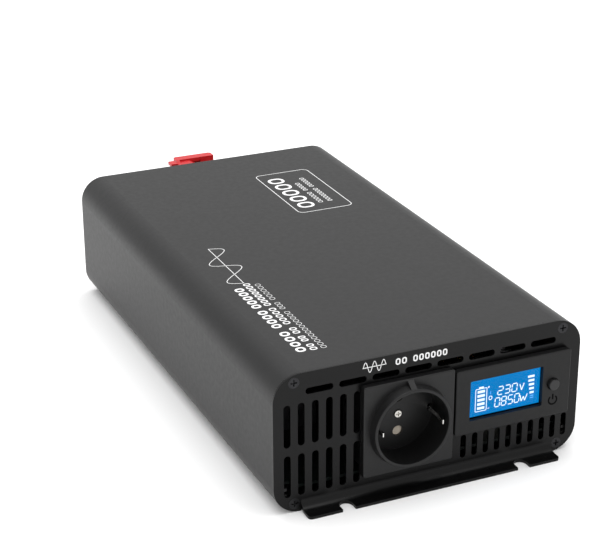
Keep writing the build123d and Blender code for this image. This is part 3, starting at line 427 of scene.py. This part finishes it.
def make_materials():
    """One material for each slot of the record, and a few for parts that share a slot."""
    across = (1, 0.12, 1)
    return {
        "housing_paint": coated_metal("housing_paint", (0.0075, 0.0075, 0.0077), 0.42, specular=0.27,
                                      depth=0.008 * MM),
        # the front panel's colour is darker than the housing's: partly its own blacker paint, partly
        # painted shade for the front face that the overhead light misses
        "panel_paint": coated_metal("panel_paint", (0.0022, 0.0022, 0.0023), 0.30, specular=0.19,
                                    depth=0.003 * MM),
        "black_screws": bare_metal("black_screws", (0.036, 0.036, 0.038), 0.30),
        "bright_screws": bare_metal("bright_screws", (0.66, 0.64, 0.60), 0.24),
        "socket_plastic": moulded_plastic("socket_plastic", (0.005, 0.005, 0.0052), 0.42, specular=0.32),
        "bezel_plastic": moulded_plastic("bezel_plastic", (0.005, 0.005, 0.0052), 0.48, specular=0.26),
        "carrier_plastic": moulded_plastic("carrier_plastic", (0.008, 0.008, 0.008), 0.5, specular=0.35),
        "shutter_plastic": moulded_plastic("shutter_plastic", (0.50, 0.44, 0.36), 0.45),
        "contact_brass": bare_metal("contact_brass", (0.75, 0.58, 0.28), 0.25),
        "earth_metal": bare_metal("earth_metal", (0.74, 0.73, 0.70), 0.16, stretch=across),
        "display_glass": clear_window("display_glass"),
        "lcd": lit_panel("lcd", (0.0, 0.198, 0.515), 1.0, 0.06),
        "lcd_segment": lit_panel("lcd_segment", (0.80, 0.93, 1.0), 1.0, 0.02),
        "lcd_faint": lit_panel("lcd_faint", (0.12, 0.45, 0.92), 1.0, 0.05),
        "circuit_board": circuit_laminate("circuit_board", (0.004, 0.007, 0.006), (0.22, 0.21, 0.20), 0.42),
        "button_plastic": moulded_plastic("button_plastic", (0.011, 0.011, 0.0113), 0.38, specular=0.38),
        "switch_plastic": moulded_plastic("switch_plastic", (0.02, 0.02, 0.02), 0.4),
        "fan_plastic": moulded_plastic("fan_plastic", (0.012, 0.012, 0.0125), 0.40),
        "guard_wire": coated_metal("guard_wire", (0.02, 0.02, 0.02), 0.28, grain=2500.0),
        "red_plastic": moulded_plastic("red_plastic", (0.50, 0.012, 0.016), 0.40, specular=0.36, lift=1.2),
        "black_plastic": moulded_plastic("black_plastic", (0.012, 0.012, 0.0125), 0.36),
        "icon_ink": screen_ink("icon_ink", (0.0015, 0.0015, 0.0015), 0.8, specular=0.05),
        "terminal_brass": bare_metal("terminal_brass", (0.80, 0.60, 0.29), 0.24, stretch=across),
        "washer_steel": bare_metal("washer_steel", (0.66, 0.65, 0.62), 0.3),
        "copper": bare_metal("copper", (0.80, 0.38, 0.22), 0.3, stretch=across),
        "ferrite": sintered("ferrite", (0.035, 0.035, 0.038), 0.55, 1400.0),
        "winding_tape": banded("winding_tape", (0.62, 0.42, 0.04), (0.40, 0.25, 0.02), 0.3, 120.0, "Z"),
        "capacitor_sleeve": moulded_plastic("capacitor_sleeve", (0.012, 0.015, 0.04), 0.22),
        "device_epoxy": moulded_plastic("device_epoxy", (0.012, 0.012, 0.012), 0.55),
        "sink_aluminium": banded("sink_aluminium", (0.70, 0.70, 0.71), (0.55, 0.55, 0.56), 0.34, 900.0, "Z",
                                 depth=0.01 * MM, metallic=1.0, distortion=1.5),
        "inductor_core": sintered("inductor_core", (0.30, 0.24, 0.04), 0.5, 1800.0),
        "enamelled_wire": bare_metal("enamelled_wire", (0.62, 0.24, 0.08), 0.22),
        "fuse_plastic": moulded_plastic("fuse_plastic", (0.80, 0.28, 0.02), 0.2),
        "film_capacitor": moulded_plastic("film_capacitor", (0.016, 0.016, 0.018), 0.45),
        "lead_sleeve": moulded_plastic("lead_sleeve", (0.016, 0.016, 0.016), 0.4),
        "ribbon": banded("ribbon", (0.30, 0.30, 0.31), (0.16, 0.16, 0.17), 0.45, 400.0, "X"),
        "connector_plastic": moulded_plastic("connector_plastic", (0.60, 0.58, 0.52), 0.4),
        "white_print": screen_ink("white_print", (0.86, 0.86, 0.86), 0.5),
    }


def paint_cad_nodes():
    slots = {row["node"]: row["material_slot"] for row in frame["record"]["subparts"]}
    for node, piece in frame["nodes"].items():
        piece.data.materials.clear()
        piece.data.materials.append(MATERIALS[slots[node]])


# ---- thin printed and lit shapes ----------------------------------------------------------
class Sheet:
    """Collects flat shapes drawn in a plane and makes one thin closed piece of them."""

    def __init__(self, origin, right, up, rise=INK, sink=SINK):
        right, up = Vector(right), Vector(up)
        normal = right.cross(up)
        self.place = Matrix.Translation(origin) @ Matrix((right, up, normal)).transposed().to_4x4()
        self.rise = rise
        self.sink = sink
        self.mesh = bmesh.new()

    def strip(self, left, right, closed=False):
        """A band between two rows of points, each point (x, y) in millimetres."""
        rows = []
        for a, b in zip(left, right):
            rows.append([self.mesh.verts.new((x * MM, y * MM, z)) for x, y, z in (
                (*a, self.rise), (*b, self.rise), (*b, -self.sink), (*a, -self.sink))])
        count = len(rows)
        for index in range(count if closed else count - 1):
            here, there = rows[index], rows[(index + 1) % count]
            for side in range(4):
                turn = (side + 1) % 4
                self.mesh.faces.new((here[side], here[turn], there[turn], there[side]))
        if not closed:
            self.mesh.faces.new(reversed(rows[0]))
            self.mesh.faces.new(rows[-1])

    def box(self, x0, x1, y0, y1):
        """An upright rectangle."""
        self.strip([(x0, y1), (x1, y1)], [(x0, y0), (x1, y0)])

    def stroke(self, points, width, closed=False):
        """A line of even width along points."""
        count = len(points)
        left, right = [], []
        for index, point in enumerate(points):
            before = points[index - 1] if closed or index else point
            after = points[(index + 1) % count] if closed or index < count - 1 else point
            along = (Vector(after) - Vector(before)).normalized()
            across = Vector((-along.y, along.x)) * width / 2
            left.append(tuple(Vector(point) + across))
            right.append(tuple(Vector(point) - across))
        self.strip(left, right, closed)

    def finish(self, name, body, slot, material):
        bmesh.ops.recalc_face_normals(self.mesh, faces=self.mesh.faces)
        self.mesh.transform(self.place)
        return add_piece(name, self.mesh, body, material)


def add_piece(name, mesh, body, material):
    data = bpy.data.meshes.new(name)
    mesh.to_mesh(data)
    mesh.free()
    piece = bpy.data.objects.new(name, data)
    bpy.context.scene.collection.objects.link(piece)
    data.materials.append(MATERIALS[material])
    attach(piece, body)
    return piece


def wave_points(x0, x1, middle, height, turns, lean=0.0):
    """A sine line that starts upwards; lean pulls the crests back towards the start."""
    points = []
    for step in range(int(turns * WAVE_STEPS) + 1):
        share = step / (turns * WAVE_STEPS)
        rise = height * math.sin(2 * math.pi * turns * share)
        points.append((x0 + (x1 - x0) * share - lean * rise, middle + rise))
    return points


def ring_points(x0, x1, y0, y1, radius, steps=8):
    """A rectangle with round corners, anticlockwise."""
    points = []
    corners = ((x1 - radius, y1 - radius, 0), (x0 + radius, y1 - radius, 90),
               (x0 + radius, y0 + radius, 180), (x1 - radius, y0 + radius, 270))
    for x, y, start in corners:
        for step in range(steps + 1):
            turn = math.radians(start + 90 * step / steps)
            points.append((x + radius * math.cos(turn), y + radius * math.sin(turn)))
    return points


def word_rings(sheet, words, y0, y1, letter, weight):
    """Placeholder text: each word, given as its start and end, is a row of blank round-cornered rings."""
    half = weight / 2
    for start, end in words:
        count = max(1, round((end - start) / letter))
        step = (end - start) / count
        width = step * RING_SHARE
        radius = min(width, y1 - y0) / 2 - half
        for index in range(count):
            x = start + index * step
            ring = ring_points(x + half, x + width - half, y0 + half, y1 - half, radius * 0.8, 3)
            sheet.stroke(ring, weight, closed=True)


def print_top():
    """White print on the housing: placeholder lines, a leaning wave and a framed block of figures."""
    sheet = Sheet((0, FRONT, TOP), (0, 1, 0), (-1, 0, 0))
    for words, foot, head, letter, weight in TOP_LINES:
        word_rings(sheet, words, foot, head, letter, weight)
    sheet.stroke(wave_points(110.6, 162.8, 54.7, 7.7, 2, LINE_LEAN), 0.38)
    sheet.box(110.3, 163.0, 54.5, 54.9)
    sheet.stroke(ring_points(192.8, 262.4, -49.6, -14.8, 3.6), 0.46, closed=True)
    for index in range(FIGURE_COUNT):
        start = FIGURE_START + index * FIGURE_PITCH
        sheet.stroke(ring_points(start, start + FIGURE_WIDTH, -28.0, -19.4, 3.2), 1.75, closed=True)
    for words, foot, head, letter, weight in LABEL_LINES:
        word_rings(sheet, words, foot, head, letter, weight)
    sheet.finish("top_print", "casing", "white_print", "white_print")


def print_front():
    """White print over the socket: a small wave and two placeholder words."""
    sheet = Sheet((0, FRONT, 0), (1, 0, 0), (0, 0, 1))
    sheet.stroke(wave_points(-38.0, -25.8, 70.7, 2.75, 2.5), 0.36)
    sheet.box(-38.3, -25.5, 70.5, 70.9)
    word_rings(sheet, ((-20.5, -13.6), (-10.9, 8.7)), 68.9, 72.4, 3.4, 0.75)
    sheet.finish("front_print", "casing", "white_print", "white_print")


def print_rear():
    """Polarity marks beside the two terminals and an earth sign over the ground screw."""
    ground = centre("ground_screw")
    sheet = Sheet((0, REAR, 0), (-1, 0, 0), (0, 0, 1))
    left, right = MARK_X - MARK_HALF, MARK_X + MARK_HALF
    for node, upright in (("positive_stud", True), ("negative_stud", False)):
        z = centre(node).z / MM
        sheet.box(MARK_X - MARK_REACH, MARK_X + MARK_REACH, z - MARK_HALF, z + MARK_HALF)
        if upright:
            sheet.box(left, right, z + MARK_HALF, z + MARK_REACH)
            sheet.box(left, right, z - MARK_REACH, z - MARK_HALF)
    x, z = -ground.x / MM, ground.z / MM + EARTH_RISE
    sheet.box(x - EARTH_HALF, x + EARTH_HALF, z + EARTH_HALF, z + 3.0)
    for index, half in enumerate(EARTH_BARS):
        middle = z - index * EARTH_PITCH
        sheet.box(x - half, x + half, middle - EARTH_HALF, middle + EARTH_HALF)
    sheet.finish("rear_print", "casing", "white_print", "white_print")


def centre(node):
    low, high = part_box(node)
    return (low + high) / 2


def print_power_icon():
    """A ring open at the top with an upright bar, under the button."""
    sheet = Sheet((0, BEZEL_FACE, 0), (1, 0, 0), (0, 0, 1))
    arc = []
    for step in range(ICON_STEPS + 1):
        turn = math.radians(90 + ICON_GAP + (360 - 2 * ICON_GAP) * step / ICON_STEPS)
        arc.append((ICON_X + ICON_RADIUS * math.cos(turn), ICON_Z + ICON_RADIUS * math.sin(turn)))
    sheet.stroke(arc, ICON_WEIGHT)
    sheet.box(ICON_X - 0.45, ICON_X + 0.45, ICON_Z + 0.3, ICON_Z + 3.4)
    sheet.finish("power_icon", "casing", "bezel_plastic", "icon_ink")


# ---- display picture ----------------------------------------------------------------------
DIGIT_SEGMENTS = {"0": "abcdef", "2": "abged", "3": "abgcd", "5": "afgcd", "8": "abcdefg"}


def draw_digit(sheet, digit, x, y, width, height, weight):
    """A seven-segment figure; every segment is a short bar with a small gap at its ends."""
    gap = weight * 0.55
    half = height / 2
    bars = {"a": ((gap, height), (width - gap, height)), "g": ((gap, half), (width - gap, half)),
            "d": ((gap, 0), (width - gap, 0)), "f": ((0, height - gap), (0, half + gap)),
            "e": ((0, half - gap), (0, gap)), "b": ((width, height - gap), (width, half + gap)),
            "c": ((width, half - gap), (width, gap))}
    for segment in DIGIT_SEGMENTS[digit]:
        ends = [(x + px + DIGIT_LEAN * py, y + py) for px, py in bars[segment]]
        sheet.stroke(ends, weight)


def draw_number(sheet, text, x, y, width, height, pitch, weight):
    for index, digit in enumerate(text):
        draw_digit(sheet, digit, x + index * pitch, y, width, height, weight)


def draw_letter(sheet, points, weight):
    """A unit letter of straight bars from point to point."""
    for start, end in zip(points, points[1:]):
        sheet.stroke([start, end], weight)


def draw_display():
    """Battery gauge at the left, volts over watts in the middle, load gauge at the right."""
    bright, faint, border = (
        Sheet((0, LCD_FACE, 0), (1, 0, 0), (0, 0, 1), rise=rise * MM, sink=DISPLAY_SINK)
        for rise in (0.05, 0.04, 0.06))
    bright.stroke(ring_points(24.4, 30.8, 33.9, 46.5, 0.5), 0.4, closed=True)
    bright.box(26.3, 28.9, 46.7, 47.6)
    for index in range(BAR_COUNT):
        z = 34.9 + index * BAR_PITCH
        bright.box(25.5, 29.7, z, z + 1.4)
    bright.stroke([(31.3, 46.6), (32.4, 46.6)], 0.4)
    bright.stroke([(31.85, 46.05), (31.85, 47.15)], 0.4)
    bright.stroke([(31.5, 34.6), (32.5, 34.6)], 0.4)
    bright.stroke(ring_points(32.2, 33.9, 39.2, 41.2, 0.8), 0.4, closed=True)
    faint.stroke([(33.05, 42.2), (33.05, 44.0)], 0.35)
    draw_number(bright, "230", 37.1, 40.9, 2.9, 4.5, 4.1, 0.55)
    draw_letter(bright, ((50.0, 44.4), (51.1, 40.9), (52.5, 44.6)), 0.5)
    draw_number(bright, "0850", 35.6, 34.4, 2.7, 4.9, 3.8, 0.55)
    draw_letter(bright, ((50.5, 37.9), (51.2, 34.5), (52.4, 37.0), (53.2, 34.5), (54.6, 38.1)), 0.5)
    for index in range(BAR_COUNT):
        z = 46.9 - index * BAR_PITCH
        inset = index * 0.35
        bright.box(54.6 + inset, 58.4, z, z + 1.2)
    for index in range(2):
        faint.box(56.4, 58.4, 36.2 - index * 1.2, 36.7 - index * 1.2)
    border.strip([(17.6, 29.0), (64.0, 29.0), (64.0, 55.0), (17.6, 55.0)],
                 [(19.0, 31.5), (61.7, 31.5), (61.7, 53.3), (19.0, 53.3)], closed=True)
    bright.finish("display_segments", "casing", "lcd", "lcd_segment")
    faint.finish("display_faint_marks", "casing", "lcd", "lcd_faint")
    border.finish("display_border", "casing", "lcd", "icon_ink")


# ---- threaded studs -----------------------------------------------------------------------
def make_stud(node, body):
    """The battery stud with a rolled thread: a closed helix-shaped surface along Y."""
    low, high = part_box(node)
    x, z = (low.x + high.x) / 2, (low.z + high.z) / 2
    rows = int(round((high.y - low.y) / THREAD_PITCH * THREAD_ROWS))
    mesh = bmesh.new()
    rings = []
    for row in range(rows + 1):
        y = low.y + (high.y - low.y) * row / rows
        from_end = min(y - low.y, high.y - y)
        taper = min(1.0, from_end / TAPER_LENGTH)
        ring = []
        for step in range(THREAD_SIDES):
            turn = 2 * math.pi * step / THREAD_SIDES
            phase = ((y - low.y) / THREAD_PITCH - step / THREAD_SIDES) % 1.0
            valley = 1 - abs(2 * phase - 1)
            radius = STUD_RADIUS - THREAD_DEPTH * valley
            radius = min(radius, STUD_RADIUS - TAPER_DEPTH * (1 - taper))
            ring.append(mesh.verts.new((x + radius * math.cos(turn), y, z + radius * math.sin(turn))))
        rings.append(ring)
    for here, there in zip(rings, rings[1:]):
        for step in range(THREAD_SIDES):
            turn = (step + 1) % THREAD_SIDES
            mesh.faces.new((here[step], here[turn], there[turn], there[step]))
    mesh.faces.new(rings[0])
    mesh.faces.new(reversed(rings[-1]))
    bmesh.ops.recalc_face_normals(mesh, faces=mesh.faces)
    piece = add_piece(node + "_threaded", mesh, body, "terminal_brass")
    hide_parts(node)


# ---- build --------------------------------------------------------------------------------
bpy.context.scene.view_settings.view_transform = "Standard"
MATERIALS = make_materials()
make_camera()
make_world(WORLD_STRENGTH)
make_softbox("overhead", SOFTBOX_PLACE, (0, 0, 0), SOFTBOX_SIZE, SOFTBOX_POWER)
make_floor()
paint_cad_nodes()
print_top()
print_front()
print_rear()
print_power_icon()
draw_display()
make_stud("positive_stud", "casing")
make_stud("negative_stud", "casing")
